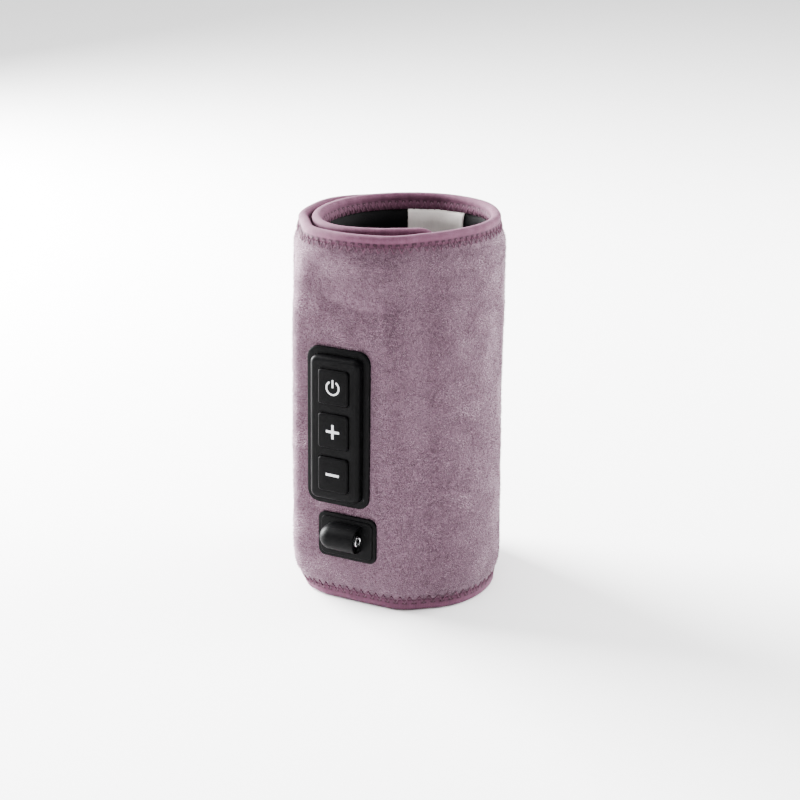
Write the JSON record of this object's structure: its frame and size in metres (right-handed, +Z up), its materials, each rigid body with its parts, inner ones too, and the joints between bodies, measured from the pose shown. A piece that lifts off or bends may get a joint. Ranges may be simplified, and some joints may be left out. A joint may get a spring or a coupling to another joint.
{
  "type": "leg massager",
  "caption": "Padded fleece calf wrap rolled into a standing cylinder, with a three-key control unit, charging inlet, vibration motors and a peel-open flap.",
  "frame": {"origin": "centre of the rolled wrap's bounding box, on the floor under its lower binding", "axes": "+Z up along the roll's axis, -Y out of the face that holds the keys"},
  "size_m": [0.116, 0.126, 0.2],
  "materials": {
    "fleece": "long pile fleece",
    "lining": "smooth knit",
    "binding": "woven tape",
    "foam": "open cell foam",
    "tag": "satin",
    "hook": "hook tape",
    "black_case": "satin",
    "key": "matt",
    "steel": "bright",
    "board": "lacquered",
    "cell": "foil",
    "cable": "satin"
  },
  "bodies": {
    "wrap": {"wrap_fleece": "fleece", "wrap_foam": "foam", "wrap_lining": "lining", "wrap_binding": "binding", "care_tag": "tag", "control_flange": "black_case", "front_case": "black_case", "rear_case": "black_case", "battery_cell": "cell", "circuit_board": "board", "case_screw_1": "steel", "case_screw_2": "steel", "case_screw_3": "steel", "case_screw_4": "steel", "power_switch": "black_case", "plus_switch": "black_case", "minus_switch": "black_case", "inlet_plate": "black_case", "inlet_housing": "black_case", "inlet_clamp": "black_case", "jack_body": "black_case", "jack_ring": "steel", "jack_pin": "steel", "inlet_lead": "cable", "motor_lead": "cable", "motor_1_case": "steel", "motor_1_base": "steel", "motor_2_case": "steel", "motor_2_base": "steel", "motor_3_case": "steel", "motor_3_base": "steel"},
    "flap": {"flap_fleece": "fleece", "flap_foam": "foam", "flap_lining": "lining", "flap_binding": "binding", "hook_patch": "hook"},
    "power_key": {"power_key": "key"},
    "plus_key": {"plus_key": "key"},
    "minus_key": {"minus_key": "key"},
    "motor_1_rotor": {"motor_1_weight": "steel"},
    "motor_2_rotor": {"motor_2_weight": "steel"},
    "motor_3_rotor": {"motor_3_weight": "steel"}
  },
  "joints": [
    {"name": "flap_peel", "type": "hinge", "parent": "wrap", "child": "flap", "pos_m": [-0.05409, -0.01551, 0.1], "axis": [0, 0, 1], "range_deg": [0, 95]},
    {"name": "power_press", "type": "slide", "parent": "wrap", "child": "power_key", "axis": [0, 1, 0], "range_m": [0, 0.0008], "stiffness_N_per_m": 1200},
    {"name": "plus_press", "type": "slide", "parent": "wrap", "child": "plus_key", "axis": [0, 1, 0], "range_m": [0, 0.0008], "stiffness_N_per_m": 1200},
    {"name": "minus_press", "type": "slide", "parent": "wrap", "child": "minus_key", "axis": [0, 1, 0], "range_m": [0, 0.0008], "stiffness_N_per_m": 1200},
    {"name": "motor_1_spin", "type": "hinge", "parent": "wrap", "child": "motor_1_rotor", "pos_m": [-0.03147, -0.02356, 0.1], "axis": [-0.6963, -0.7178, 0], "continuous": true},
    {"name": "motor_2_spin", "type": "hinge", "parent": "wrap", "child": "motor_2_rotor", "pos_m": [-0.03331, 0.03948, 0.1], "axis": [-0.7748, 0.6322, 0], "continuous": true},
    {"name": "motor_3_spin", "type": "hinge", "parent": "wrap", "child": "motor_3_rotor", "pos_m": [0.02448, 0.05307, 0.1], "axis": [0.5156, 0.8568, 0], "continuous": true}
  ]
}
